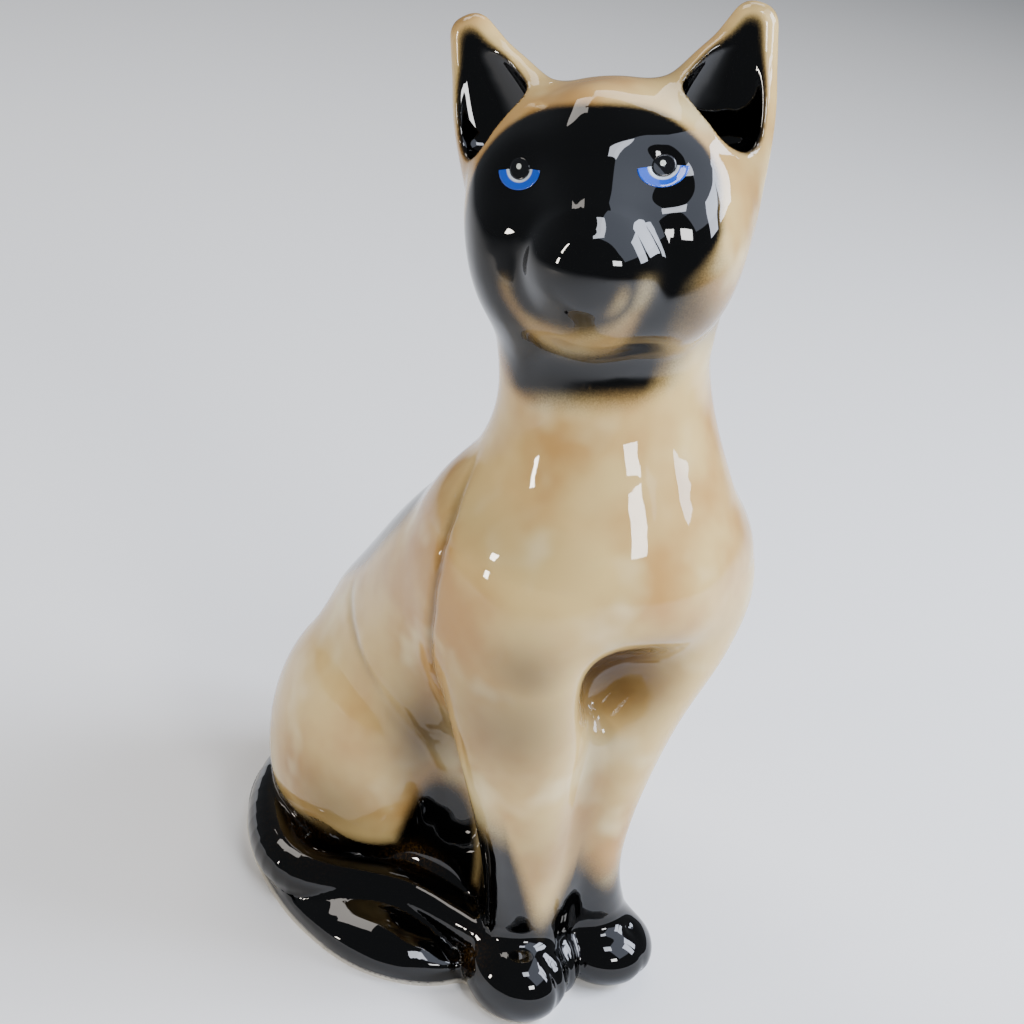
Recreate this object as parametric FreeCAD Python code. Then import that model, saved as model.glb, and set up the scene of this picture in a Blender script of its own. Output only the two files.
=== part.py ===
import FreeCAD, Part
import math, os

# Seated ceramic cat, turned head, closed hollow casting on a flat base.
# Millimetres. The cat's body faces -Y, its left side is +X, up is +Z, and the
# flat underside lies in z = 0.
#
# The figure's form is described as rounded masses that melt into each other
# (the way a modeller builds a clay master): torso, forelegs, haunches, paws,
# skull, cheeks, muzzle. Each mass has its own named dimensions. A level
# outline is found by walking in along rays until the blended surface is met,
# and the outlines are skinned with one smooth closed surface.
os.makedirs("parts", exist_ok=True)
V = FreeCAD.Vector

# ---------------------------------------------------------------- dimensions
BASE_T = 5.0            # thickness of the base slab
NECK_Z = 141.0          # level of the luted joint between body and head
WALL = 4.0              # thickness of the cast wall
DRAIN_R = 4.0           # vent hole through the slab, needed to fire a closed form
DRAIN_AT = (-4.0, 20.0)
FOOT_ROUND = 1.0        # rounded lower edge of the slab
AROUND = 60             # points in one outline
STEP_LOW, STEP_HIGH = 3.0, 6.0   # spacing of outlines below and above the paws
NECK_RINGS, CROWN_RINGS = 10, 14 # rings of the head below and above its middle
PAW_TOP = 22.0
ENAMEL = 0.35           # how far a fired enamel dot stands off the glaze

# torso profile: control values every 12 mm of height, first one at z = -24
TORSO_Z0, TORSO_DZ = -24.0, 12.0
BACK = [50.0, 50.0, 52.0, 54.0, 55.0, 55.0, 55.8, 56.8, 47.0,
        38.4, 29.2, 17.2, 9.9, 7.5, 11.1, 8.0, 8.0]
FRONT = [-18.0, -18.0, -18.0, -18.0, -18.0, -18.0, -18.0, -20.0, -27.0,
         -40.2, -48.9, -47.0, -40.3, -32.7, -29.0, -28.0, -28.0]
HALF_W = [22.0, 22.0, 23.0, 24.0, 25.0, 27.0, 30.5, 36.7, 33.9,
          35.2, 35.3, 30.4, 24.4, 21.3, 21.7, 21.0, 21.0]
MID_X = [0.0, 0.0, 0.0, 0.0, 0.0, 0.0, 0.0, 0.0, -0.5, 0.5, 1.3, 1.8, 1.6, 0.6, -1.3, 0.0, 0.0]
TORSO_TOP, TORSO_ROUND = 154.0, 8.0

# forelegs with their shoulders: control values every 16 mm, first at z = -8
LEG_Z0, LEG_DZ = -8.0, 16.0
LEG_TOP, LEG_ROUND = 112.0, 12.0
R_LEG = dict(x=[-8.0, -9.0, -10.2, -12.3, -15.0, -17.0, -17.0, -15.0, -12.0],
             y=[-27.0, -28.0, -29.0, -29.0, -27.0, -24.0, -19.0, -14.0, -8.0],
             a=[6.5, 7.0, 7.6, 9.6, 12.2, 14.5, 17.0, 17.0, 15.0],
             b=[7.0, 7.2, 7.6, 9.8, 12.5, 18.0, 24.5, 25.0, 20.0])
L_LEG = dict(x=[11.0, 13.4, 6.2, 4.5, 6.9, 9.9, 16.6, 17.7, 12.0],
             y=[-27.0, -28.0, -28.7, -28.2, -26.5, -22.8, -19.2, -14.9, -8.0],
             a=[8.0, 8.6, 6.7, 8.4, 10.2, 12.7, 16.1, 17.4, 15.0],
             b=[8.0, 8.0, 7.6, 9.4, 12.0, 18.0, 24.5, 25.0, 20.0])

# ellipsoids: centre, radii, tilt about X, turn about Z
R_PAW = ((-11.3, -34.3, 6.0), (11.5, 12.9, 9.7))
L_PAW = ((11.9, -33.4, 6.0), (11.5, 11.4, 7.4))
R_HAUNCH = ((-24.4, 24.2, 32.4), (19.6, 26.8, 35.8))
L_HAUNCH = ((19.0, 25.0, 32.0), (16.0, 27.0, 33.0))
HAUNCH_TILT = 14.0
R_FOOT = ((-32.1, -2.7, 4.0), (12.9, 22.2, 10.0), 10.0)
L_FOOT = ((24.0, 2.0, 4.0), (9.0, 20.0, 9.0), -6.0)
BASE_BACK = 51.0        # the slab reaches further behind, under the tail
BASE_C, BASE_R, BASE_POWER = (-5.7, 14.1), (42.3, 43.7), 2.3

# head, in its own axes (nose along -Y) about HEAD_C
HEAD_C = (-5.5, -9.6, 169.8)
HEAD_YAW, HEAD_PITCH, HEAD_ROLL = -45.0, -8.0, -13.2
SKULL = ((0.0, 3.0, 1.0), (27.3, 21.9, 22.1))
CHEEK = ((11.1, -5.4, -9.3), (13.7, 16.4, 17.1))
MUZZLE = ((0.0, -16.0, -9.0), (11.5, 12.0, 9.0))
CHIN = ((0.0, -13.0, -17.0), (9.0, 8.0, 6.0))

# tail: control points of its centre line with radii, root first
TAIL = [(10.0, 56.0, 9.0, 7.4), (-6.0, 56.0, 9.0, 7.6), (-21.0, 52.0, 9.0, 7.4),
        (-35.0, 41.5, 8.8, 7.0), (-43.5, 26.5, 8.6, 6.6), (-46.5, 10.5, 8.5, 5.9),
        (-36.5, 3.0, 8.8, 5.6), (-24.5, -5.0, 9.2, 5.5), (-19.0, -16.5, 9.6, 5.2),
        (-15.4, -27.0, 10.6, 4.5), (-12.5, -35.0, 12.0, 3.9)]
TAIL_RINGS, TAIL_AROUND = 40, 24

# ear, in head axes: root and tip of its axis, half widths and half thicknesses
EAR_ROOT, EAR_TIP = (15.5, 5.0, 2.0), (28.0, 7.5, 35.0)
EAR_WIDE = [12.0, 11.6, 10.6, 9.0, 7.0, 4.8, 2.7]
EAR_THICK = [7.0, 6.6, 6.0, 5.2, 4.3, 3.4, 2.5]
CUP_INSET, CUP_LIFT = 2.0, 3.2   # rim width and how far the hollow's axis moves forward

# eyes, in head axes
EYE_X, EYE_Z = 13.0, 7.0
EYE_W, EYE_H = 4.3, 3.4          # half width and half height of the blue patch
PUPIL_R, PUPIL_UP = 1.7, 0.9
GLINT_R = 0.5


# ------------------------------------------------------------- small helpers
def melt(a, b, k):
    """Union of two masses with a fillet of size k."""
    h = max(k - abs(a - b), 0.0)
    return min(a, b) - h * h / (4.0 * k)


def profile(c, z, z0, dz):
    """Uniform cubic spline through control values c spaced dz from z0."""
    t = min(max((z - z0) / dz, 1.0), len(c) - 2.0 - 1e-6)
    i = int(t)
    u = t - i
    return (c[i-1] * (1 - u) ** 3 + c[i] * (3 * u ** 3 - 6 * u * u + 4)
            + c[i+1] * (-3 * u ** 3 + 3 * u * u + 3 * u + 1) + c[i+2] * u ** 3) / 6.0


def turn(axis, deg):
    t = math.radians(deg)
    c, s = math.cos(t), math.sin(t)
    if axis == "x":
        return ((1, 0, 0), (0, c, -s), (0, s, c))
    if axis == "y":
        return ((c, 0, s), (0, 1, 0), (-s, 0, c))
    return ((c, -s, 0), (s, c, 0), (0, 0, 1))


def mul(A, B):
    return tuple(tuple(sum(A[i][k] * B[k][j] for k in range(3)) for j in range(3))
                 for i in range(3))


HEAD_AXES = mul(mul(turn("z", HEAD_YAW), turn("x", HEAD_PITCH)), turn("y", HEAD_ROLL))


def to_head(p):
    d = [p[i] - HEAD_C[i] for i in range(3)]
    return tuple(sum(d[i] * HEAD_AXES[i][j] for i in range(3)) for j in range(3))


def from_head(q):
    return V(*[HEAD_C[i] + sum(HEAD_AXES[i][j] * q[j] for j in range(3)) for i in range(3)])


def disc(x, y, a, b):
    """Distance to an upright elliptic column."""
    q = math.hypot(x / a, y / b)
    g = math.hypot(x / a ** 2, y / b ** 2)
    return q * (q - 1) / max(g, 1e-6)


def ellipsoid(p, c, r, R=None):
    d = [p[i] - c[i] for i in range(3)]
    if R:
        d = [sum(d[i] * R[i][j] for i in range(3)) for j in range(3)]
    k0 = math.sqrt(sum((d[i] / r[i]) ** 2 for i in range(3)))
    k1 = math.sqrt(sum((d[i] / r[i] ** 2) ** 2 for i in range(3)))
    return k0 * (k0 - 1) / max(k1, 1e-6)


# ------------------------------------------------------------------- masses
def torso(x, y, z):
    back, front = profile(BACK, z, TORSO_Z0, TORSO_DZ), profile(FRONT, z, TORSO_Z0, TORSO_DZ)
    half, mid = profile(HALF_W, z, TORSO_Z0, TORSO_DZ), profile(MID_X, z, TORSO_Z0, TORSO_DZ)
    d = disc(x - mid, y - (back + front) / 2, half, (back - front) / 2)
    return -melt(-d, TORSO_TOP - z, TORSO_ROUND)


def leg(x, y, z, L):
    f = {k: profile(c, z, LEG_Z0, LEG_DZ) for k, c in L.items()}
    return -melt(-disc(x - f["x"], y - f["y"], f["a"], f["b"]), LEG_TOP - z, LEG_ROUND)


TILT = turn("x", HAUNCH_TILT)
R_SPLAY, L_SPLAY = turn("z", R_FOOT[2]), turn("z", L_FOOT[2])


def hollowable(x, y, z):
    """Torso and haunches: the part of the body that is hollow."""
    p = (x, y, z)
    h = min(ellipsoid(p, *R_HAUNCH, TILT), ellipsoid(p, *L_HAUNCH, TILT))
    return melt(torso(x, y, z), h, 5.0)


def head_mass(x, y, z):
    q = to_head((x, y, z))
    m = (abs(q[0]), q[1], q[2])
    d = ellipsoid(q, *SKULL)
    d = melt(d, ellipsoid(m, *CHEEK), 8.0)
    d = melt(d, ellipsoid(q, *MUZZLE), 6.0)
    return melt(d, ellipsoid(q, *CHIN), 4.0)


def body(x, y, z):
    p = (x, y, z)
    d = melt(hollowable(x, y, z), leg(x, y, z, R_LEG), 4.0)
    d = melt(d, leg(x, y, z, L_LEG), 4.0)
    if z < 2 * PAW_TOP:
        for paw in (R_PAW, L_PAW):
            d = melt(d, ellipsoid(p, *paw), 3.0)
        d = melt(d, ellipsoid(p, R_FOOT[0], R_FOOT[1], R_SPLAY), 3.0)
        d = melt(d, ellipsoid(p, L_FOOT[0], L_FOOT[1], L_SPLAY), 3.0)
    if z > NECK_Z - 20:
        d = melt(d, head_mass(x, y, z), 6.0)
    return d


def slab(x, y, z):
    reach_y = BASE_BACK if y > BASE_C[1] else BASE_R[1]
    q = (abs((x - BASE_C[0]) / BASE_R[0]) ** BASE_POWER
         + abs((y - BASE_C[1]) / reach_y) ** BASE_POWER) ** (1 / BASE_POWER)
    return melt(body(x, y, z), (q - 1) * BASE_R[0], 3.0)


def neck_and_head(x, y, z):
    return melt(torso(x, y, z), head_mass(x, y, z), 6.0)


# --------------------------------------------------------- outlines to solids
def skin(rings):
    """Closed solid through a stack of rings of poles, flat at both ends."""
    n, m = len(rings[0]), len(rings)
    surf = Part.BSplineSurface()
    inner = m - 4
    surf.buildFromPolesMultsKnots(
        [[ring[i] for ring in rings] for i in range(n)],
        [1] * (n + 1), [4] + [1] * inner + [4],
        [float(k) for k in range(n + 1)], [float(k) for k in range(inner + 2)],
        True, False, 3, 3)
    side = surf.toShape()
    caps = []
    for end in (0, -1):
        curve = surf.vIso(surf.bounds()[2] if end == 0 else surf.bounds()[3])
        caps.append(Part.Face(Part.Wire([curve.toShape()])))
    shell = Part.makeShell([side] + caps)
    shell.sewShape()
    solid = Part.Solid(shell)
    if solid.Volume < 0:
        solid.reverse()
    return solid


def ring_about(field, centre, normal, offset=0.0, reach=80.0):
    """One ring in the plane through centre: the first surface met walking inwards."""
    v = normal.cross(V(1, 0, 0)).normalize()
    u = v.cross(normal)
    ring = []
    for k in range(AROUND):
        t = 2 * math.pi * k / AROUND
        d = u * math.cos(t) + v * math.sin(t)
        r, step = reach, 2.0
        while r > 0 and field(*(centre + d * r)) > -offset:
            r -= step
        lo, hi = max(r, 0.0), r + step
        for _ in range(14):
            mid = (lo + hi) / 2
            if field(*(centre + d * mid)) > -offset:
                hi = mid
            else:
                lo = mid
        ring.append(centre + d * lo)
    return ring


def outline(field, z, axis, offset=0.0, z_at=None):
    """One level ring at height z; z_at lays it at another height instead."""
    ring = ring_about(field, V(axis[0], axis[1], z), V(0, 0, 1), offset)
    return ring if z_at is None else [V(p.x, p.y, z_at) for p in ring]


def axis_at(z):
    """The figure leans: its middle moves forward from the base to the chest."""
    t = min(max((z - 30.0) / 70.0, 0.0), 1.0)
    t = t * t * (3 - 2 * t)
    return (-3.0 * (1 - t), 12.0 * (1 - t) - 12.0 * t)


def levels(z0, z1):
    out, z = [z0], z0
    while z < z1 - 1e-6:
        z += STEP_LOW if z < PAW_TOP else STEP_HIGH
        if z > z1 - 0.6 * STEP_LOW:
            z = z1
        out.append(min(z, z1))
    return out


def head_rings(offset, z0):
    """Rings that tip over from level at the neck to square with the head."""
    start, crown_dir = V(*axis_at(z0), z0), V(*[row[2] for row in HEAD_AXES])
    centre = V(*HEAD_C)
    top, above = 0.0, 40.0
    for _ in range(30):
        mid = (top + above) / 2
        if neck_and_head(*(centre + crown_dir * mid)) > -offset:
            above = mid
        else:
            top = mid
    rings = []
    for k in range(NECK_RINGS):
        t = k / float(NECK_RINGS)
        n = (V(0, 0, 1) * (1 - t) + crown_dir * t).normalize()
        rings.append(ring_about(neck_and_head, start + (centre - start) * t, n, offset))
    for k in range(CROWN_RINGS):
        h = top * math.sin(math.pi / 2 * k / CROWN_RINGS)
        rings.append(ring_about(neck_and_head, centre + crown_dir * h, crown_dir, offset, 40.0))
    return rings


# -------------------------------------------------------------- base slab
slab_rings = [outline(slab, 0.0, axis_at(0.0), offset=FOOT_ROUND, z_at=0.0),
              outline(slab, 0.0, axis_at(0.0), offset=0.3 * FOOT_ROUND, z_at=0.3 * FOOT_ROUND)]
slab_rings += [outline(slab, z, axis_at(0.0)) for z in (FOOT_ROUND, 2.0, 3.0, 4.0, BASE_T)]
base_slab = skin(slab_rings)
base_slab = base_slab.cut(Part.makeCylinder(DRAIN_R, 3 * BASE_T, V(DRAIN_AT[0], DRAIN_AT[1], -BASE_T)))

# ------------------------------------------------------------ body casting
outer = skin([outline(body, z, axis_at(z)) for z in levels(BASE_T, NECK_Z)])
cavity = skin([outline(hollowable, z, axis_at(z), WALL) for z in levels(BASE_T - 1.0, NECK_Z + 1.0)])
body_casting = outer.cut(cavity)

# ------------------------------------------------------------ head casting
head_outer = skin(head_rings(0.0, NECK_Z))
head_cavity = skin(head_rings(WALL, NECK_Z - 1.0))
head_casting = head_outer.cut(head_cavity)

# -------------------------------------------------------------------- ears
ROUND_TIP = [(0.35, 0.93), (0.65, 0.76), (0.9, 0.42), (1.0, 0.08)]


def ear_solid(side, inset, forward, start, rise):
    """Tapered leaf along the ear's axis, with a rounded tip."""
    a, b = EAR_ROOT, EAR_TIP
    axis = [b[i] - a[i] for i in range(3)]
    length = math.sqrt(sum(v * v for v in axis))
    axis = [v / length for v in axis]
    wide = (axis[2], 0.0, -axis[0])
    norm = math.hypot(wide[0], wide[2])
    wide = [v / norm for v in wide]
    rows = [(length * (start + (1 - start) * k / 6.0), EAR_WIDE[k] - inset, EAR_THICK[k] - inset * 0.5)
            for k in range(7)]
    end = rows[-1]
    rows += [(end[0] + rise * s, end[1] * f, end[2] * f) for s, f in ROUND_TIP]
    rings = []
    for d, w, t in rows:
        ring = []
        for k in range(28):
            u = 2 * math.pi * k / 28
            q = [a[i] + axis[i] * d + wide[i] * w * math.cos(u) for i in range(3)]
            q[1] += t * math.sin(u) - forward
            ring.append(from_head((side * q[0], q[1], q[2])))
        rings.append(ring)
    return skin(rings)


def ear(side):
    leaf = ear_solid(side, 0.0, 0.0, 0.0, 2.6)
    cup = ear_solid(side, CUP_INSET, CUP_LIFT, 0.42, 0.5)
    return leaf.cut(cup).cut(head_outer)


def largest(shape):
    return max(shape.Solids, key=lambda s: s.Volume)


left_ear, right_ear = largest(ear(1)), largest(ear(-1))

# -------------------------------------------------------------------- tail
def tail_rings():
    n = len(TAIL)
    rows = []
    for k in range(TAIL_RINGS + 1):
        s = 1 + (n - 3 - 1e-4) * k / TAIL_RINGS
        rows.append([profile([t[j] for t in TAIL], s, 0, 1) for j in range(4)])
    rings = []
    for k, (x, y, z, r) in enumerate(rows):
        p, q = rows[max(k - 1, 0)], rows[min(k + 1, len(rows) - 1)]
        d = V(q[0] - p[0], q[1] - p[1], q[2] - p[2]).normalize()
        side = d.cross(V(0, 0, 1)).normalize()
        up = side.cross(d)
        bulge = [(0.0, 1.0)]
        if k == 0:
            bulge = [(-1.0, 0.1), (-0.93, 0.4), (-0.7, 0.75), (-0.35, 0.95), (0.0, 1.0)]
        if k == len(rows) - 1:
            bulge = [(0.0, 1.0), (0.35, 0.95), (0.7, 0.75), (0.93, 0.4), (1.0, 0.1)]
        for along, f in bulge:
            rings.append([V(x, y, z) + d * (along * r)
                          + side * (f * r * math.cos(2 * math.pi * i / TAIL_AROUND))
                          + up * (f * r * math.sin(2 * math.pi * i / TAIL_AROUND))
                          for i in range(TAIL_AROUND)])
    return rings


slab_solid = skin(slab_rings)
tail = largest(skin(tail_rings()).cut(outer).cut(slab_solid))


# -------------------------------------------------------------------- eyes
def eye_prism(side, x, z, a, b, y0, y1):
    """Elliptic prism along the gaze direction, from depth y0 to y1 in head axes."""
    rings = []
    for k in range(5):
        y = y0 + (y1 - y0) * k / 4.0
        rings.append([from_head((side * (x + a * math.cos(2 * math.pi * i / 24)), y,
                                 z + b * math.sin(2 * math.pi * i / 24))) for i in range(24)])
    return skin(rings)


def face_depth(x, z):
    """Depth of the face's surface at (x, z), in head axes."""
    lo, hi = 0.0, -40.0
    for _ in range(30):
        mid = (lo + hi) / 2
        p = from_head((x, mid, z))
        if head_mass(p.x, p.y, p.z) > 0:
            hi = mid
        else:
            lo = mid
    return lo


def eye(side):
    y = min(face_depth(EYE_X, EYE_Z), face_depth(EYE_X - PUPIL_R, EYE_Z))
    cy = EYE_Z + PUPIL_UP
    patch = eye_prism(side, EYE_X, EYE_Z, EYE_W, EYE_H, y - ENAMEL, y + 8.0)
    black = eye_prism(side, EYE_X, cy, PUPIL_R, PUPIL_R, y - 1.3 * ENAMEL, y + 8.0)
    glint = eye_prism(side, EYE_X - side * 0.4, cy + 0.5, GLINT_R, GLINT_R,
                      y - 2.2 * ENAMEL, y - 1.3 * ENAMEL)
    iris = largest(patch.cut(head_outer).cut(black))
    pupil = largest(black.cut(head_outer))
    return iris, pupil, glint


left_iris, left_pupil, left_glint = eye(1)
right_iris, right_pupil, right_glint = eye(-1)

# ------------------------------------------------------------------ export
NODES = {"base_slab": base_slab, "body_casting": body_casting, "head_casting": head_casting,
         "left_ear": left_ear, "right_ear": right_ear, "tail": tail,
         "left_iris": left_iris, "right_iris": right_iris,
         "left_pupil": left_pupil, "right_pupil": right_pupil,
         "left_glint": left_glint, "right_glint": right_glint}
for name, shape in NODES.items():
    if shape.ShapeType == "Compound" and len(shape.Solids) == 1:
        shape = shape.Solids[0]
    shape.exportStep("parts/%s.step" % name)
    b = shape.BoundBox
    print("%-13s %s solids %d valid %s vol %.1f  x %.1f..%.1f y %.1f..%.1f z %.1f..%.1f" % (
        name, shape.ShapeType, len(shape.Solids), shape.isValid(), shape.Volume,
        b.XMin, b.XMax, b.YMin, b.YMax, b.ZMin, b.ZMax))
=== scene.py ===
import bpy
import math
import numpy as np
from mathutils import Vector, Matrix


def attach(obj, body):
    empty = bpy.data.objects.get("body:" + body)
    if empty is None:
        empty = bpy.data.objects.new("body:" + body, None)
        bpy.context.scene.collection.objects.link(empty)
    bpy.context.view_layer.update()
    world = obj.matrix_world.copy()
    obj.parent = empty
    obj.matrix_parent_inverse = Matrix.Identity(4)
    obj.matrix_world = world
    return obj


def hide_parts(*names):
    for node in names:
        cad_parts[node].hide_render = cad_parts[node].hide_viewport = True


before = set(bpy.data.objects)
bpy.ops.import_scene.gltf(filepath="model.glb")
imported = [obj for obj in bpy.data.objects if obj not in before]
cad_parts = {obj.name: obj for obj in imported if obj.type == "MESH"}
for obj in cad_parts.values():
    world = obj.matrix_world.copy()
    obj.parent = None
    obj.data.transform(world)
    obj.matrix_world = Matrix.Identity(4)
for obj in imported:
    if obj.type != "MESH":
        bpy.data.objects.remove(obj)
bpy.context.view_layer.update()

# %% [markdown]
# # A glazed ceramic cat
# The figure is a slip-cast earthenware cat: pale clay, sprayed cream, brown
# and black colours, and one thick clear glaze over everything. It could be
# sculpted by hand in Blender, but then no two pieces would share an exact
# joint. Here every form is a formula instead, so that the whole cat can be cut
# into its real pieces anywhere. Lengths are in millimetres and are turned into
# metres only when a mesh is made.

MM = 0.001
F = np.float32

# %% [markdown]
# ## Melting clay together
# A modeller presses one lump of clay onto another and smooths the joint. The
# same happens to distances: the smaller of two distances joins two lumps, and
# rounding off that minimum gives the fillet. The rounded maximum carves.

# %% Smooth unions
def smin(a, b, k):
    """Smooth union: the smaller of two distances, with a fillet of size k."""
    h = np.maximum(k - np.abs(a - b), 0)
    return np.minimum(a, b) - h * h / (4 * k)


def smax(a, b, k):
    """Smooth intersection, the mirror image of smin."""
    return -smin(-a, -b, k)


def ramp(x, lo, hi):
    """Smooth step from 0 at lo to 1 at hi."""
    t = np.clip((x - lo) / (hi - lo), 0, 1)
    return t * t * (3 - 2 * t)

# %% Ellipsoids, columns and profiles
def turn(axis, deg):
    """Matrix for a turn by deg about one axis."""
    t = math.radians(deg)
    c, s = math.cos(t), math.sin(t)
    rows = {"x": ((1, 0, 0), (0, c, -s), (0, s, c)),
            "y": ((c, 0, s), (0, 1, 0), (-s, 0, c)),
            "z": ((c, -s, 0), (s, c, 0), (0, 0, 1))}
    return np.array(rows[axis], F)


def spline(values, t, start=0.0, step=1.0):
    """Uniform cubic b-spline through control values that stand step apart."""
    c = np.asarray(values, F)
    t = np.clip((t - start) / step, 1, len(c) - 2 - 1e-4)
    i = t.astype(int)
    u = (t - i).astype(F)
    return (c[i-1] * (1 - u) ** 3 + c[i] * (3 * u ** 3 - 6 * u * u + 4)
            + c[i+1] * (-3 * u ** 3 + 3 * u * u + 3 * u + 1) + c[i+2] * u ** 3) / 6


def blob(p, centre, radii, axes=None):
    """Distance to an ellipsoid, first order exact at its surface."""
    q = p - np.asarray(centre, F)
    if axes is not None:
        q = q @ axes
    r = np.asarray(radii, F)
    k0 = np.sqrt(((q / r) ** 2).sum(-1))
    k1 = np.sqrt(((q / (r * r)) ** 2).sum(-1))
    return k0 * (k0 - 1) / np.maximum(k1, 1e-6)


def column(x, y, a, b):
    """Distance to an upright column of elliptic section."""
    q = np.sqrt((x / a) ** 2 + (y / b) ** 2)
    g = np.sqrt((x / a ** 2) ** 2 + (y / b ** 2) ** 2)
    return q * (q - 1) / np.maximum(g, 1e-6)

# %% Rolls of clay
def to_path(p, path):
    """Distance to a polyline with radii: to the nearest point of each run,
    less the radius there, and the least of these over all the runs."""
    best = np.full(len(p), 1e3, F)
    for start, end in zip(path[:-1].astype(F), path[1:].astype(F)):
        a, along = start[:3], end[:3] - start[:3]
        t = np.clip(((p - a) @ along) / max(float(along @ along), 1e-9), 0, 1)
        radius = start[3] + (end[3] - start[3]) * t
        best = np.minimum(best, np.sqrt(((p - a - t[:, None] * along) ** 2).sum(1)) - radius)
    return best


def curve(points, n):
    """Smooth polyline of n+1 points guided by control points (x, y, z, radius)."""
    c = np.asarray(points, F)
    t = np.linspace(1, len(c) - 2 - 1e-3, n + 1)
    return np.stack([spline(c[:, k], t) for k in range(c.shape[1])], 1)


def line(*points):
    """Polyline with zero radius through (x, y, z) points."""
    return np.array([tuple(q) + (0.0,) for q in points], F)

# %% [markdown]
# ## Torso and legs
# The torso is a tapering column that leans back over the haunches, so it is a
# stack of ellipses that follows four profiles. Each foreleg is such a stack
# too, wide at the shoulder. The main numbers follow the solid model; the skin
# creases, the hollow under the chest and the clefts of the paws are added here.

# %% Torso
NECK_Z, BASE_T = 141.0, 5.0      # joint of head and body, thickness of the foot plate
TORSO_FROM, TORSO_STEP = -24, 12     # heights of the profiles' values
TORSO_TOP, TORSO_ROUND = 154, 8
BACK = [50.0, 50.0, 52.0, 54.0, 55.0, 55.0, 55.8, 56.8, 47.0,
        38.4, 29.2, 17.2, 9.9, 7.5, 11.1, 8.0, 8.0]
FRONT = [-18.0, -18.0, -18.0, -18.0, -18.0, -18.0, -18.0, -20.0, -27.0,
         -40.2, -48.9, -47.0, -40.3, -32.7, -29.0, -28.0, -28.0]
HALF = [22.0, 22.0, 23.0, 24.0, 25.0, 27.0, 30.5, 36.7, 33.9,
        35.2, 35.3, 30.4, 24.4, 21.3, 21.7, 21.0, 21.0]
MID = [0.0, 0.0, 0.0, 0.0, 0.0, 0.0, 0.0, 0.0, -0.5,
       0.5, 1.3, 1.8, 1.6, 0.6, -1.3, 0.0, 0.0]


def torso_profiles(z):
    """Back, front, half width and middle of the torso at each height."""
    return (spline(values, z, TORSO_FROM, TORSO_STEP) for values in (BACK, FRONT, HALF, MID))


def torso(p):
    """Torso: a stack of ellipses whose back, front, half width and middle
    follow the four profiles over the height, rounded off at the top."""
    x, y, z = p.T
    back, front, half, mid = torso_profiles(z)
    return smax(column(x - mid, y - (back + front) / 2, half, (back - front) / 2), z - TORSO_TOP, TORSO_ROUND)

# %% Forelegs
# middle x, middle y, half width and half depth, every LEG_STEP of height
LEG_FROM, LEG_STEP = -8, 16
LEG_TOP, LEG_ROUND = 112, 12
R_LEG = ([-8, -9, -10.2, -12.3, -15, -17, -17, -15, -12],
         [-27, -28, -29, -29, -27, -24, -19, -14, -8],
         [6.5, 7.0, 7.6, 9.6, 12.2, 14.5, 17, 17, 15],
         [7, 7.2, 7.6, 9.8, 12.5, 18, 24.5, 25, 20])
L_LEG = ([11, 13.4, 6.2, 4.5, 6.9, 9.9, 16.6, 17.7, 12],
         [-27, -28, -28.7, -28.2, -26.5, -22.8, -19.2, -14.9, -8],
         [8, 8.6, 6.7, 8.4, 10.2, 12.7, 16.1, 17.4, 15],
         [8, 8, 7.6, 9.4, 12, 18, 24.5, 25, 20])


def foreleg(p, leg):
    """Foreleg: a stack of ellipses along the leg's own middle line."""
    x, y, z = p.T
    cx, cy, a, b = (spline(values, z, LEG_FROM, LEG_STEP) for values in leg)
    return smax(column(x - cx, y - cy, a, b), z - LEG_TOP, LEG_ROUND)

# %% Hollows and creases
def dimple(p, at, size, depth):
    """A soft round hollow; a negative depth gives a bump."""
    return depth * np.exp(-(((p - np.array(at, F)) / np.array(size, F)) ** 2).sum(-1))


def crease(p, path, width, depth):
    """A soft groove along a line of points: a bell curve across the line."""
    return depth * np.exp(-(to_path(p, path) / width) ** 2)


# shoulder blade, thigh and hind foot of the right flank, used for both flanks
SHOULDER = line((24.0, -4.0, 118), (30.3, -12, 108), (33.2, -15, 98), (34, -16, 90),
                (33, -15, 82), (29.5, -13, 72), (26, -14, 64), (24, -17, 50))
THIGH = line((33.5, 24, 74), (35.4, 14, 68), (34, 5.2, 60.5), (29.6, -0.6, 53),
             (25.3, -3.9, 48), (21.5, -6, 42))
HAUNCH_FOOT = line((42, 40, 15), (46, 27, 14), (43.5, 17, 14.5), (37, 11, 17.5),
                   (30, 6, 15), (22, 5, 16), (17, 8, 19))
# depth and line of the cleft in each forepaw
TOES = [(1.1, line((-8.2, -41.5, 14), (-6.6, -45.5, 9), (-6.2, -46.5, 2))),
        (0.6, line((15.0, -37.5, 12), (15.6, -42, 7), (15.8, -43, 2)))]

# %% Body masses
# centre, radii and tilt about X of the haunches
HAUNCHES = [((-24.4, 24.2, 32.4), (19.6, 26.8, 35.8), 14), ((19.0, 25.0, 32.0), (16.0, 27.0, 33.0), 14)]
# centre, radii and fillet: clay between haunch and leg, right paw, left paw,
# clay between the paws
PAWS = [((-14, -2, 3), (16, 18, 11.5), 5), ((-11.3, -34.3, 6.0), (10.9, 12.4, 9.3), 3.5),
        ((11.9, -33.4, 6.0), (11.2, 11.2, 7.6), 3.5), ((-0.8, -32, 5), (4.2, 9, 8), 1.5)]
# centre, radii, fillet and turn about Z: right hind foot, its toes, left hind foot
HIND_FEET = [((-32.1, -2.7, 4.0), (12.9, 22.2, 6.0), 3, 10), ((-31.5, -14.5, 3.0), (8.0, 15.5, 6.8), 1.5, 42),
             ((24, 2, 4), (9, 20, 9), 3, -6)]
FEET_TOP = 34        # above this the feet add nothing


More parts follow.
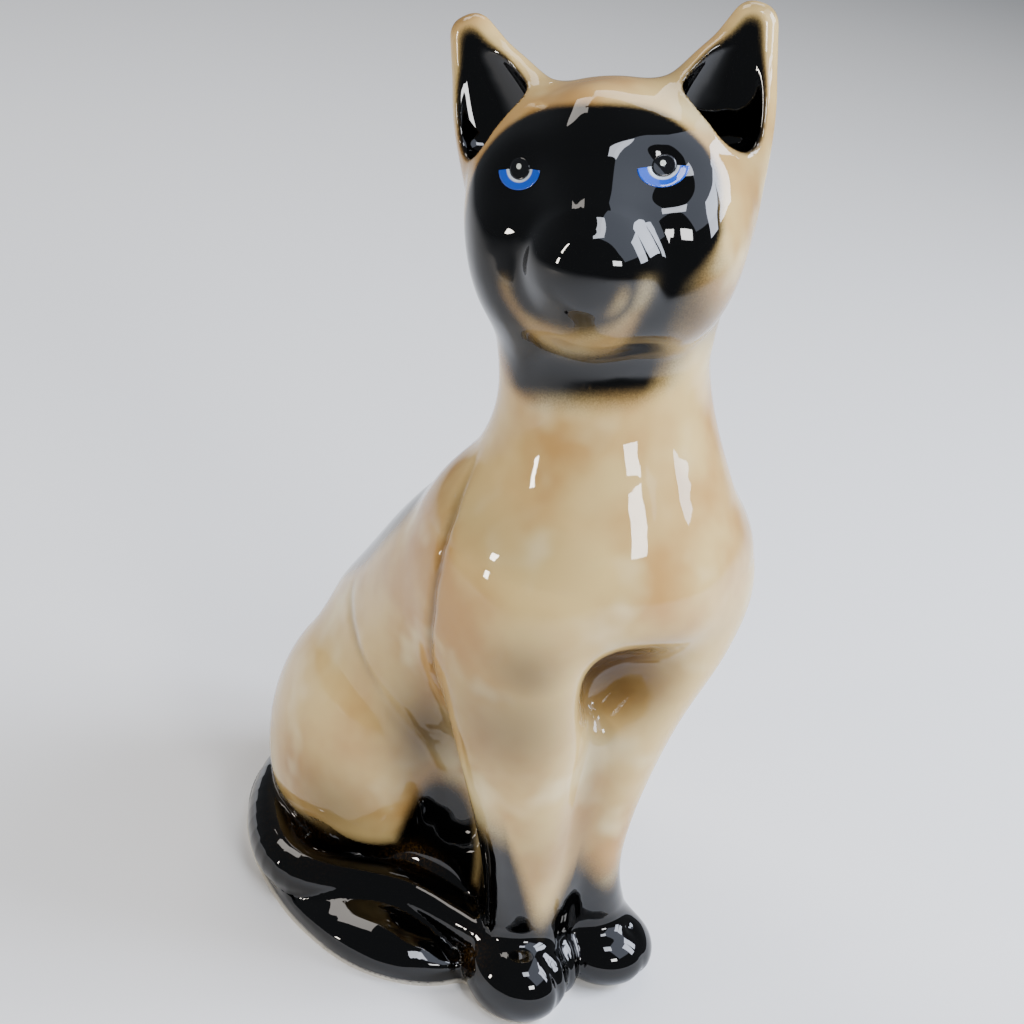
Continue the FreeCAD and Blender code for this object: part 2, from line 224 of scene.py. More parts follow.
def lower_masses(p):
    """Everything of the body: torso, haunches, legs joined by a web, feet."""
    right, left = (blob(p, centre, radii, turn("x", tilt)) for centre, radii, tilt in HAUNCHES)
    d = smin(torso(p), np.minimum(right, left), 4)
    legs = smin(foreleg(p, R_LEG), foreleg(p, L_LEG), 6)
    x, y, z = p.T
    web = smax(column(x + 3.5, y + 18, 10.0, 17.0), z - 68, 9)
    d = smin(d, smin(legs, web, 5), 6)
    m = fold(p)
    d = d + dimple(p, (-2.3, -38, 82.0), (8.3, 14, 9.0), 8.0) + dimple(p, (-17, -46, 84), (14, 12, 12), 1.2)
    d = d + crease(m, SHOULDER, 1.3, 0.65) + crease(m, THIGH, 1.6, 0.45) + crease(m, HAUNCH_FOOT, 2.4, 2.0)
    low = z < FEET_TOP
    q = p[low]
    e = d[low]
    for centre, radii, fillet in PAWS:
        e = smin(e, blob(q, centre, radii), fillet)
    for depth, toe in TOES:
        e = e + crease(q, toe, 1.4, depth)
    for centre, radii, fillet, splay in HIND_FEET:
        e = smin(e, blob(q, centre, radii, turn("z", splay)), fillet)
    d[low] = e
    return d


print("torso profile of", len(BACK), "heights,", len(PAWS) + len(HIND_FEET), "masses near the ground")

# %% [markdown]
# ## Head
# The head looks to the cat's right and leans over, so it is described in its
# own axes, nose ahead and crown up, about its middle. Brows stand out and eye
# sockets and cheeks fall back by a millimetre or two, which is what breaks up
# the reflections in the black glaze.

# %% Head
HEAD_AT = np.array((-5.5, -9.6, 169.8), F)
HEAD_AXES = turn("z", -45) @ turn("x", -8) @ turn("y", -13.2)
NOSE_BRIDGE = np.array([(0, -9.5, 15, 3.0), (0.4, -15.3, 5, 4.4), (0.9, -22.5, -2.5, 5.4)], F)
MUZZLE = ((1.0, -18.5, -9.5), (12.4, 11.8, 10.6))
JAW = ((0.6, -13.5, -14.5), (14.2, 11.5, 11.0))


def to_head(p):
    """Head axes: nose along -Y, the cat's left +X, crown +Z."""
    return (p - HEAD_AT) @ HEAD_AXES


def fold(q):
    """The same points with both flanks laid on the cat's left."""
    m = q.copy()
    m[:, 0] = np.abs(m[:, 0])
    return m


def head(q):
    """Skull, temples and cheeks as ellipsoids, hollowed for the eyes, with
    the nose bridge, the jaw and the muzzle melted on."""
    m = fold(q)
    d = blob(q, (0, 3, 1), (27.3, 21.9, 22.1))
    d = smin(d, blob(m, (20.8, 5.0, 17.0), (8.6, 6.5, 11.0)), 8)
    d = smin(d, blob(m, (11.1, -5.4, -9.3), (13.7, 16.4, 17.1)), 8)
    d = d + dimple(m, (13.2, -18.5, 6.0), (6.5, 8, 5.0), 1.9) + dimple(m, (12, -18, 13.0), (8.5, 8, 3.5), -0.9)
    d = d + dimple(m, (14.5, -20.5, -8), (5.5, 8, 7), 1.2)
    d = smin(d, to_path(q, NOSE_BRIDGE), 10)
    d = smin(d, blob(q, *JAW), 4)
    d = smin(d, blob(q, *MUZZLE, turn("x", -12)), 2.5)
    return d + dimple(q, (1.0, -30.5, -3.8), (4.0, 3.5, 2.0), -0.7)

# %% [markdown]
# ## Ears
# Each ear is a leaf of clay with a hollow pressed into its front. The leaf
# tapers along a straight axis, and a smaller leaf moved forward carves the cup.

# %% Ears
EAR_ROOT, EAR_TIP = np.array((15.5, 5, 2), F), np.array((28.0, 7.5, 35.0), F)
EAR_WIDE = [12.0, 12.0, 11.6, 10.6, 9.2, 7.4, 5.3, 3.2, 1.5]
EAR_THICK = [7.0, 7.0, 6.6, 6.0, 5.2, 4.4, 3.6, 2.8, 2.0]


def leaf(m, thin, ahead, reach):
    """A tapered leaf along the ear's axis: thin is taken off its width all
    round, ahead moves it forward, reach is where its tip ends."""
    axis = EAR_TIP - EAR_ROOT
    length = np.linalg.norm(axis)
    axis = axis / length
    across = np.array((axis[2], 0, -axis[0]), F)
    across /= np.linalg.norm(across)
    r = m - EAR_ROOT
    t = r @ axis
    u = r @ across
    v = r[:, 1] - axis[1] * t + ahead
    wide = spline(EAR_WIDE, t, -length / 6, length / 6) - thin
    thick = spline(EAR_THICK, t, -length / 6, length / 6) - thin * 0.5
    wide, thick = np.maximum(wide, 0.8), np.maximum(thick, 0.8)
    return smax(column(u, v, wide, thick), t - reach, 3.0)


def ear_cup(q):
    """The hollow in front of each ear, rounded off at its lower end."""
    return smax(leaf(fold(q), 1.6, 5.6, 33.0), 8.5 - q[:, 2], 5.0)


def head_with_ears(q):
    """Head and ears in one, less the hollows of the ears."""
    return smax(smin(head(q), leaf(fold(q), 0.0, 0.0, 35.3), 3), -ear_cup(q), 1.5)


print("ears", round(float(np.linalg.norm(EAR_TIP - EAR_ROOT)), 1), "mm from root to tip")

# %% [markdown]
# ## Tail and foot plate
# The tail is a roll of clay that lies on the foot plate from the rump along the
# right side and ends between hind foot and forepaw. Its middle line is a smooth
# curve through a few points, each with its radius.

# %% Tail and foot plate
TAIL = curve([(10.0, 56.0, 9.0, 7.4), (-6.0, 56.0, 9.0, 7.6), (-21.0, 52.0, 9.0, 7.4),
              (-35.0, 41.5, 8.8, 7.0), (-43.5, 26.5, 8.6, 6.6), (-46.5, 10.5, 8.5, 5.9),
              (-36.5, 3.0, 8.8, 5.6), (-24.5, -5.0, 9.2, 5.5), (-19.0, -16.5, 9.6, 5.2),
              (-15.4, -27.0, 10.6, 4.5), (-12.5, -35.0, 12.0, 3.9)], 34)
FAR, TAIL_NEAR = 20.0, (22, 36)
PLATE_AT, PLATE_POWER = (-5.7, 14.1), 2.3
PLATE_HALF, PLATE_DEPTH, PLATE_BACK = 42.3, 43.7, 51.0   # half width, depth ahead and behind


def tail(p):
    """Distance to the tail, worked out only in the box TAIL_NEAR, since
    everything outside it is far from the tail."""
    d = np.full(len(p), FAR, F)
    near = (p[:, 2] < TAIL_NEAR[1]) & (p[:, 0] < TAIL_NEAR[0])
    d[near] = to_path(p[near], TAIL)
    return d


def slab(p):
    """Foot plate: |x/a|^n + |y/b|^n = 1, deeper behind its middle, flat on top."""
    x, y, z = p.T
    depth = np.where(y > PLATE_AT[1], PLATE_BACK, PLATE_DEPTH)
    q = np.abs((x - PLATE_AT[0]) / PLATE_HALF) ** PLATE_POWER + np.abs((y - PLATE_AT[1]) / depth) ** PLATE_POWER
    return smax((q ** (1 / PLATE_POWER) - 1) * PLATE_HALF, z - BASE_T, 1.5)


def rest_of_cat(p):
    """The whole figure but the tail."""
    d = torso(p)
    low = p[:, 2] < 125
    if low.any():
        q = p[low]
        d[low] = smin(lower_masses(q), slab(q), 3)
    high = p[:, 2] > 120
    if high.any():
        q = to_head(p[high])
        d[high] = smin(d[high], head_with_ears(q), 6)
    return d


def cat(p):
    """The whole figure."""
    return smin(rest_of_cat(p), tail(p), 1.6)


length = np.linalg.norm(np.diff(TAIL[:, :3], axis=0), axis=1).sum()
print("tail", round(float(length)), "mm long")

# %% [markdown]
# ## From distances to meshes
# A piece is the figure cut by its own joint faces. Its surface is read off a
# regular grid of distances: every grid cell that the surface runs through gets
# one vertex at the mean of its edge crossings, and every grid edge that it
# crosses gets one quad. This way was chosen because it closes every mesh by
# itself, whatever the forms do.

# %% Grid of distances
CHUNK = 400000       # points worked out at a time, which bounds the memory


def sample(f, low, high, cell):
    """Distances on a regular grid over a box, a few slices at a time."""
    axes = [np.arange(a, b + cell, cell, dtype=F) for a, b in zip(low, high)]
    vol = np.empty([len(a) for a in axes], F)
    yy, zz = np.meshgrid(axes[1], axes[2], indexing="ij")
    plane = np.stack([np.zeros_like(yy), yy, zz], -1).reshape(-1, 3)
    chunk = max(1, CHUNK // len(plane))
    for i in range(0, len(axes[0]), chunk):
        xs = axes[0][i:i+chunk]
        p = np.tile(plane, (len(xs), 1))
        p[:, 0] = np.repeat(xs, len(plane))
        vol[i:i+chunk] = f(p).reshape(len(xs), *yy.shape)
    return axes, vol


def gradient(f, p, e=0.25):
    """Slope of f at each point, by central differences."""
    g = np.empty_like(p)
    for k in range(3):
        step = np.zeros(3, F)
        step[k] = e
        g[:, k] = (f(p + step) - f(p - step)) / (2 * e)
    return g

# %% Where the surface cuts the grid
def crossings(vol):
    """For every grid cell: the sum of the points where the surface cuts its
    twelve edges, in cells, and how many such points there are."""
    cells = [n - 1 for n in vol.shape]
    total = np.zeros(cells + [3], F)
    count = np.zeros(cells, np.int16)
    half = [(slice(0, n), slice(1, n + 1)) for n in cells]
    for axis in range(3):
        one, two = [k for k in range(3) if k != axis]
        for u in (0, 1):
            for v in (0, 1):
                a, b = [None] * 3, [None] * 3
                a[axis], b[axis] = half[axis]
                a[one] = b[one] = half[one][u]
                a[two] = b[two] = half[two][v]
                va, vb = vol[tuple(a)], vol[tuple(b)]
                hit = (va < 0) != (vb < 0)
                at = np.zeros((hit.sum(), 3), F)
                at[:, axis] = va[hit] / (va[hit] - vb[hit])
                at[:, one] = u
                at[:, two] = v
                total[hit] += at
                count[hit] += 1
    return total, count

# %% Quads between the cells
def cell_faces(inside, index):
    """One quad round every grid edge that has its ends on different sides,
    turned so that it faces outwards."""
    quads = []
    for axis in range(3):
        u, v = [(1, 2), (2, 0), (0, 1)][axis]
        lo = [slice(1, -1)] * 3
        hi = [slice(1, -1)] * 3
        lo[axis], hi[axis] = slice(0, -1), slice(1, None)
        a, b = inside[tuple(lo)], inside[tuple(hi)]
        for crossed, order in ((a & ~b, 1), (~a & b, -1)):
            at = np.argwhere(crossed)
            at[:, u] += 1
            at[:, v] += 1
            ids = []
            for du, dv in ((-1, -1), (0, -1), (0, 0), (-1, 0)):
                c = at.copy()
                c[:, u] += du
                c[:, v] += dv
                ids.append(index[tuple(c.T)])
            quads.append(np.stack(ids, 1)[:, ::order])
    quads = np.concatenate(quads)
    return quads[(quads >= 0).all(1)]


def cell_mesh(f, low, high, cell):
    """Vertices and quads of the zero surface of f inside a box."""
    axes, vol = sample(f, low, high, cell)
    total, count = crossings(vol)
    used = count > 0
    index = np.full(used.shape, -1, np.int64)
    index[used] = np.arange(used.sum())
    origin = np.array([a[0] for a in axes], F)
    verts = origin + (np.argwhere(used).astype(F) + total[used] / count[used][:, None]) * cell
    return verts, cell_faces(vol < 0, index)

# %% [markdown]
# ## Crisp joints
# The grid rounds off the edge where a joint face cuts the glaze. So every
# vertex is moved onto the faces it belongs to, by a few Newton steps, and a
# vertex that belongs to two faces ends up on their edge.

# %% Settling and cleaning
def settle(verts, walls, cell, rounds=5):
    """Newton steps onto each wall a vertex belongs to; two walls give an edge."""
    v = verts.copy()
    value = np.stack([w(v) for w in walls], 1)
    on = np.abs(value) < 0.8 * cell
    for _ in range(rounds):
        for k, w in enumerate(walls):
            pick = np.flatnonzero(on[:, k])
            if len(pick) == 0:
                continue
            q = v[pick]
            g = gradient(w, q, 0.1)
            s = w(q) / np.maximum((g * g).sum(1), 0.05)
            v[pick] = q - g * np.clip(s, -cell, cell)[:, None]
    return v


# %% Meshes and their attributes
def outward(verts, quads, walls):
    """Exact normal of each face corner, from the slope of the wall it is on."""
    centre = verts[quads].mean(1)
    side = np.stack([w(centre) for w in walls], 1).argmax(1)
    normal = np.zeros((len(quads), 4, 3), F)
    for k, w in enumerate(walls):
        pick = side == k
        if pick.any():
            g = gradient(w, verts[quads[pick]].reshape(-1, 3), 0.12)
            g /= np.maximum(np.linalg.norm(g, axis=1, keepdims=True), 1e-9)
            normal[pick] = g.reshape(-1, 4, 3)
    return normal


def new_object(name, verts, quads):
    """Object at the origin with a smooth mesh, made from millimetres."""
    mesh = bpy.data.meshes.new(name)
    mesh.from_pydata((verts * MM).tolist(), [], quads.tolist())
    mesh.polygons.foreach_set("use_smooth", [True] * len(mesh.polygons))
    obj = bpy.data.objects.new(name, mesh)
    bpy.context.collection.objects.link(obj)
    print(name, len(verts), "vertices", len(quads), "quads")
    return obj


def make_piece(name, walls, low, high, cell):
    """Closed mesh of the region inside every wall; walls[0] is the glazed skin."""
    def region(p):
        return np.max([w(p) for w in walls], 0)
    verts, quads = cell_mesh(region, low, high, cell)
    verts = settle(verts, walls, cell)
    obj = new_object(name, verts, quads)
    obj.data.validate()
    if len(obj.data.polygons) == len(quads):
        obj.data.normals_split_custom_set(outward(verts, quads, walls).reshape(-1, 3).tolist())
    return obj, verts


def attribute(obj, name, values):
    """Store one number per vertex for the finishes to read."""
    a = obj.data.attributes.new(name, "FLOAT", "POINT")
    a.data.foreach_set("value", np.asarray(values, F))

# %% [markdown]
# ## Sprayed colours and painted shade
# Under the glaze the cat is airbrushed. Each vertex carries four numbers: how
# much black was sprayed there (ink), how much brown lies there (shade: painted
# shade in the hollows, creases and recesses, and sprayed brown at the lip and
# cheeks), where the black is thin enough to show brown (gold), and where the
# clay was left bare (bare). A painted picture would need an unwrapped mesh; a
# formula of the place on the cat needs none, and its edges are as soft as a
# spray's.

# %% Black face
def face_mask(q):
    """Signed distance across the edge of the black face, throat included.
    The sprayer leaned further round the right cheek."""
    side = np.abs(q[:, 0] + 0.9)
    levels = (-38, -33, -23, -15.4, -9.5, -4, 2, 8)
    left = np.interp(q[:, 2], levels, (7, 12, 16.8, 20.4, 22.9, 24.0, 23.6, 23.0))
    right = np.interp(q[:, 2], levels, (11, 17.5, 21, 24.5, 25.5, 25, 24, 23.5))
    half = np.where(q[:, 0] > 0, left, right).astype(F)
    top = 18.5 * (1 - (side / 27) ** 3)
    return smax(side - half, q[:, 2] - top, 3)


def lip_band(q):
    """Tan lip under the muzzle, thick at its lowest point, with a thin second
    arc at the left corner of the mouth: bell curves of the distance from a
    circle about the muzzle."""
    r = np.hypot(q[:, 0] + 1.2, q[:, 2] + 8.5)
    below = -(q[:, 2] + 8.5) / np.maximum(r, 1)
    reach = 14.7 - 1.8 * ramp(q[:, 0], 2, 10)
    width = 1.2 + 1.1 * ramp(below, 0.6, 1.0)
    lip = np.exp(-((r - reach) / width) ** 2)
    lip = lip * (0.35 * ramp(below, 0.05, 0.35) + 0.65 * ramp(below, 0.55, 0.95))
    corner = np.exp(-(((r - 10.2) / 1.1) ** 2 + ((q[:, 0] - 7.0) / 2.4) ** 2)) * ramp(below, 0.2, 0.6) * 0.4
    return np.maximum(lip, corner) * ramp(-q[:, 1], 9, 13)


def face_ink(q):
    """Black of the face and throat, softer downwards, and of the ear cups."""
    soft = 0.8 + (2.2 + 1.8 * ramp(q[:, 0], 4, 12)) * ramp(-q[:, 2], 5, 13)
    front = -q[:, 1] + 4 * ramp(-q[:, 0], 6, 16)
    ink = (1 - ramp(face_mask(q), -soft, soft)) * ramp(front, 1.5, 5.5) * ramp(q[:, 2], -38.5, -32)
    ink = ink * (1 - 0.9 * lip_band(q))
    return np.maximum(ink, (1 - ramp(ear_cup(q), 0.2, 1.1)) * (q[:, 2] > 5))

# %% Black of saddle, legs and foot plate
def leg_fade(p, leg, start, rise, top):
    """Height up to which a leg is sprayed: from start on its front, rising
    round its sides, so that a wedge of tan points down the leg."""
    x, y, z = p.T
    cx, cy = spline(leg[0], z, LEG_FROM, LEG_STEP), spline(leg[1], z, LEG_FROM, LEG_STEP)
    r = np.maximum(np.hypot(x - cx, y - cy), 1)
    facing = ((x - cx) * 0.2 - (y - cy) * 0.98) / r
    return np.minimum(start + rise * (1 - facing), top)


def saddle(p):
    """Dark saddle along the spine: black up to some degrees either side of
    the middle of the back, fewer degrees towards the rump and the neck."""
    x, y, z = p.T
    back, front, half, mid = torso_profiles(z)
    turned = np.degrees(np.arctan2(np.abs(x - mid) / half, 2 * (y - (back + front) / 2) / (back - front)))
    reach = 16 + 46 * ramp(z, 40, 82) - 30 * ramp(z, 92, 128)
    return (1 - ramp(turned, reach - 9, reach + 6)) * ramp(z, 24, 40) * (1 - ramp(z, 104, 134))


def spray(p):
    """All the black: face, ears, throat, saddle, legs, the pits behind the
    legs, foot plate and tail."""
    x, y, z = p.T
    ink = np.maximum(face_ink(to_head(p)), saddle(p))
    fade = np.where(x < -2.2, leg_fade(p, R_LEG, 22, 50, 46), leg_fade(p, L_LEG, 29, 18, 44))
    limb = (1 - ramp(z, fade - 7, fade + 7)) * (1 - ramp(y, -20, -12))
    pit = ((np.abs(x + 1) - 17) / 9) ** 2 + ((y + 6) / 13) ** 2 + ((z - 17) / 25) ** 2
    pit = 1 - ramp(np.sqrt(pit), 0.8, 1.15)
    low = 1 - ramp(z, 14.5, 22)
    ink = np.maximum(np.maximum(ink, limb), np.maximum(pit, low))
    return np.clip(ink, 0, 1)

# %% Painted shade and sprayed brown
# centre, radii and strength of soft brown clouds of painted shade: armpit,
# shoulder, low haunch, right foreleg
SHADE_CLOUDS = [((-24, -34, 74), (11, 16, 13), 0.7), ((-25, -38, 87), (8, 12, 8), 0.65),
          ((-40, 6, 26), (12, 14, 12), 0.65), ((-12, -36, 40), (14, 14, 16), 0.35)]


def brown(p):
    """Painted shade in the hollow under the chest, in the armpit, between the legs,
    along the creases and low on the haunch, and brown on the flank, cheek, lip and
    mouth: the strongest of several clouds."""
    x, y, z = p.T
    m = fold(p)
    # painted shade in the hollow under the chest
    chest = np.exp(-(((x + 1.8) / 11.0) ** 2 + ((z - 82.0) / 13.0) ** 2) ** 1.6)
    tones = [chest * ramp(-y, 14, 22) * 0.95]
    for at, size, much in SHADE_CLOUDS:
        tones.append(much * np.exp(-(((p - np.array(at, F)) / np.array(size, F)) ** 2).sum(1)))
    # painted shade between the forelegs
    between = 0.5 * np.exp(-((x + 3) / 5.5) ** 2) * ramp(-y, 14, 20)
    tones.append(between * (1 - ramp(z, 64, 78)) * ramp(z, 15, 30))
    # painted shade along the shoulder and thigh creases
    tones.append(0.6 * np.exp(-(to_path(m, SHOULDER) / 1.5) ** 2))
    tones.append(0.4 * np.exp(-(to_path(m, THIGH) / 1.7) ** 2))
    flank = ((np.abs(x + 1) - 23) / 9) ** 2 + ((y + 4) / 13) ** 2 + ((z - 56) / 21) ** 2
    tones.append(0.95 * np.exp(-flank))
    q = to_head(p)
    cheek = ((q[:, 0] - 19) / 6) ** 2 + ((q[:, 2] + 19) / 8) ** 2
    tones.append(0.8 * np.exp(-cheek) * (q[:, 2] > -60))
    tones.append(0.55 * lip_band(q) * (q[:, 2] > -30))
    tones.append(0.5 * np.exp(-((q[:, 0] + 7) ** 2 + (q[:, 2] - 0.5) ** 2) / 20) * (q[:, 1] < 0))
    return np.clip(np.max(tones, 0), 0, 1)

# %% Painted shade in hollows, and thin black
def hollows(f, p, step=2.5):
    """How concave the surface is, from the distance a little way outside it; this darkens the hollows as
    painted shade.
    """
    g = gradient(f, p, 0.5)
    g /= np.maximum(np.linalg.norm(g, axis=1, keepdims=True), 1e-9)
    return np.clip((step - f(p + g * step)) / step * 2.0, 0, 1)


def ledge_gold(p):
    """Where the black lies thin over the foot and the tip of the tail."""
    x, y, z = p.T
    foot = np.exp(-(((x + 17) / 9) ** 2 + ((y - 2) / 9) ** 2) ** 1.5) * (1 - ramp(z, 17, 21)) * 0.7
    back = np.exp(-(((x + 40) / 6) ** 2 + ((y - 16) / 9) ** 2)) * ramp(z, 8, 11) * (1 - ramp(z, 14, 17)) * 0.35
    tip = np.exp(-(((x + 18.0) / 4.0) ** 2 + ((y + 30.0) / 4.5) ** 2 + ((z - 8.0) / 3.6) ** 2)) * 0.95
    return np.clip(np.maximum(np.maximum(foot, back), tip), 0, 1)

# %% [markdown]
# ## The pieces
# The casting is in two parts, body and head, luted together at the throat. The
# ears, the tail and the flat foot plate are luted on. The body and the head
# run on a little under the ears and the tail, so that no gap shows in the
# glaze. The head and the tail get finer cells, because their curves are tighter.

# %% Joint faces
LAP = 0.3            # how far the clay runs on under a neighbouring piece
EAR_REACH = 23.3     # the ear piece is what lies this near to the ear's tip


def below(z0):
    """Flat joint face at height z0, with the piece under it."""
    return lambda p: p[:, 2] - F(z0)


def above(z0):
    """Flat joint face at height z0, with the piece over it."""
    return lambda p: F(z0) - p[:, 2]


def tail_side(p):
    """Joint between tail and body: the surface where both are equally near."""
    return (tail(p) - rest_of_cat(p)) * 0.5


def tail_inner(p):
    """The same joint seen from the body, which laps under the tail."""
    return -tail_side(p) - LAP


def ear_side(p):
    """How far inside the ball about the nearer ear's tip a point is."""
    return EAR_REACH - np.linalg.norm(fold(to_head(p)) - EAR_TIP, axis=1)


def ear_inner(p):
    """The same joint seen from the head, which laps under the ear."""
    return ear_side(p) - LAP


def only(side):
    """The half of the head that one ear stands on."""
    return lambda p: -side * to_head(p)[:, 0]


def vent(p):
    """Firing vent through the foot plate."""
    return 4.0 - np.hypot(p[:, 0] + 4, p[:, 1] - 20)


def outside_head(p):
    """The ear's own side of its joint."""
    return -ear_side(p)

# %% Clay pieces
CELL = 0.85
HEAD_CELL = 0.55
BARE_RIM = (0.8, 1.3)    # the glaze stops between these heights
PIECES = {}


def piece(name, walls, low, high, cell):
    """Make one clay piece, with its spray, in place of its solid."""
    obj, verts = make_piece(name, walls, low, high, cell)
    attribute(obj, "ink", spray(verts))
    # shade: painted shade in the hollows, creases and recesses, with the sprayed brown at the lip and cheeks
    attribute(obj, "shade", np.maximum(0.75 * hollows(cat, verts), brown(verts)))
    attribute(obj, "bare", 1 - ramp(verts[:, 2], *BARE_RIM))
    attribute(obj, "gold", ledge_gold(verts))
    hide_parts(name)
    PIECES[name] = obj


piece("body_casting", [cat, below(NECK_Z), above(BASE_T), tail_inner], (-50, -52, 3), (40, 62, 143), CELL)
piece("base_slab", [cat, below(BASE_T), above(0), vent], (-52, -52, -2), (42, 70, 7), CELL)
piece("tail", [cat, tail_side, above(BASE_T)], (-54, -40, 3), (16, 68, 24), HEAD_CELL)
piece("head_casting", [cat, above(NECK_Z), ear_inner], (-36, -44, 139), (26, 24, 200), HEAD_CELL)
piece("left_ear", [cat, outside_head, only(1)], (-6, -34, 166), (30, 4, 216), HEAD_CELL)
piece("right_ear", [cat, outside_head, only(-1)], (-36, -10, 158), (2, 30, 208), HEAD_CELL)

# %% [markdown]
# ## Eyes
# Each eye is fired enamel laid on the glazed face: a blue crescent with a pale
# inner edge, a dark pupil and one white dot. Each mark is a small grid of
# points in the plane of the face, carried back onto the face along the gaze,
# so it follows every bump of the glaze under it.

# %% Enamel marks
def face_depth(x, z):
    """Where a line along the gaze direction meets the face, by bisection."""
    lo, hi = np.full(x.shape, 0.0, F), np.full(x.shape, -40.0, F)
    for _ in range(26):
        mid = (lo + hi) / 2
        q = np.stack([x, mid, z], -1).reshape(-1, 3) @ HEAD_AXES.T + HEAD_AT
        out = cat(q.astype(F)).reshape(x.shape) > 0
        hi = np.where(out, mid, hi)
        lo = np.where(out, lo, mid)
    return (lo + hi) / 2


def enamel(name, x, z, height, disc=False):
    """Closed dot or crescent: rows of (x, z) points laid on the face, one row
    further out than the other. The top stands off by height * (1 - r^4) on a
    disc, r from its middle, and height * (1 - |2r - 1|^3) on a crescent, r
    across it. A disc's first and last columns meet."""
    rows, cols = x.shape
    y = face_depth(x, z)
    r = np.linspace(0, 1, rows)[:, None]
    lift = height * (1 - (r ** 4 if disc else np.abs(2 * r - 1) ** 3))
    top = np.stack([x, y - lift - 0.02, z], -1)
    bottom = np.stack([x, y + 0.5, z], -1)
    grid = np.concatenate([top.reshape(-1, 3), bottom.reshape(-1, 3)])
    n = rows * cols
    i = np.arange(n).reshape(rows, cols)
    left, right = i[:, :-1], i[:, 1:]
    a, b, c, d = left[:-1].ravel(), right[:-1].ravel(), right[1:].ravel(), left[1:].ravel()
    quads = [np.stack([a, b, c, d], 1), np.stack([d, c, b, a], 1) + n]
    rims = [(right[0], left[0]), (left[-1], right[-1])]
    if not disc:
        rims += [(i[1:, -1], i[:-1, -1]), (i[:-1, 0], i[1:, 0])]
    for one, two in rims:
        quads.append(np.stack([one, two, two + n, one + n], 1))
    obj = new_object(name, grid @ HEAD_AXES.T + HEAD_AT, np.concatenate(quads))
    attribute(obj, "across", np.tile(np.repeat(np.linspace(0, 1, rows), cols), 2))
    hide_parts(name)
    PIECES[name] = obj

# %% Both eyes
EYE_X, EYE_Z = 13.0, 7.0         # middle of each eye in head axes
PUPIL = (2.0, 1.9, 0.6)          # half width, half height, how far above the middle
GLINT = (0.55, 0.2, 1.0)         # radius, how far to the cat's right, how far above


def eye(side, word):
    """Crescent between an outer and an inner half ellipse, pupil and dot."""
    middle = side * EYE_X
    t = np.linspace(math.radians(-178), math.radians(-2), 49)[None]
    r = np.linspace(0, 1, 9)[:, None]
    outer_x, outer_z = 4.3 * np.cos(t), 3.5 * np.sin(t) + 0.45
    inner_x, inner_z = 2.1 * np.cos(t), 1.95 * np.sin(t) + 0.6
    x = (inner_x + (outer_x - inner_x) * r) * side + middle
    z = inner_z + (outer_z - inner_z) * r + EYE_Z
    enamel(word + "_iris", x.astype(F), z.astype(F), 0.12)
    t = np.linspace(0, 2 * math.pi, 33)[None]
    r = np.linspace(0.02, 1, 8)[:, None]
    x, z = middle + PUPIL[0] * r * np.cos(t), EYE_Z + PUPIL[2] + PUPIL[1] * r * np.sin(t)
    enamel(word + "_pupil", x.astype(F), z.astype(F), 0.03, True)
    x, z = middle - GLINT[1] + GLINT[0] * r * np.cos(t), EYE_Z + GLINT[2] + GLINT[0] * r * np.sin(t)
    enamel(word + "_glint", x.astype(F), z.astype(F), 0.10, True)


eye(1, "left")
eye(-1, "right")

# %% [markdown]
# ## Glaze over sprayed clay
# The real surface is matt colour under a thick, clear, lead-like glaze. So the
# shader has a rough base with no shine of its own, and the glaze is its clear
# coat: index 1.5, almost no roughness, and slightly wavy, as poured glaze is.
# That gives the eye sharp reflections over soft, deep colour.

# %% Node helper and colours
def rgb(code, a=1.0):
    """sRGB hex to linear."""
    v = [int(code[i:i+2], 16) / 255 for i in (1, 3, 5)]
    return [c / 12.92 if c <= 0.04045 else ((c + 0.055) / 1.055) ** 2.4 for c in v] + [a]


def add(mat, kind, sets=(), links=()):
    """Add one node. Sets are (name or number, value) pairs, for a property if
    the node has one of that name and for a socket if not. Links are (socket,
    source) pairs."""
    node = mat.node_tree.nodes.new(kind)
    for key, value in sets:
        if isinstance(key, str) and hasattr(node, key):
            setattr(node, key, value)
        else:
            node.inputs[key].default_value = value
    for key, source in links:
        mat.node_tree.links.new(source, node.inputs[key])
    return node


def material(name):
    """An empty material with nodes."""
    mat = bpy.data.materials.new(name)
    mat.use_nodes = True
    mat.node_tree.nodes.clear()
    return mat

# %% Glazed clay
# size in millimetres and detail of each pattern: clouds and patches of the
# cream, droplets at the edge of the spray, specks where the black is thin, and
# ripples of the glaze
PATTERNS = {"cloud": (24.0, 3.0), "patch": (15.0, 2.0), "droplet": (0.32, 2.0), "speck": (0.55, 3.0),
            "ripple": (7.0, 1.0)}
COLOUR, MATHS, SPREAD = "ShaderNodeMix", "ShaderNodeMath", "ShaderNodeMapRange"


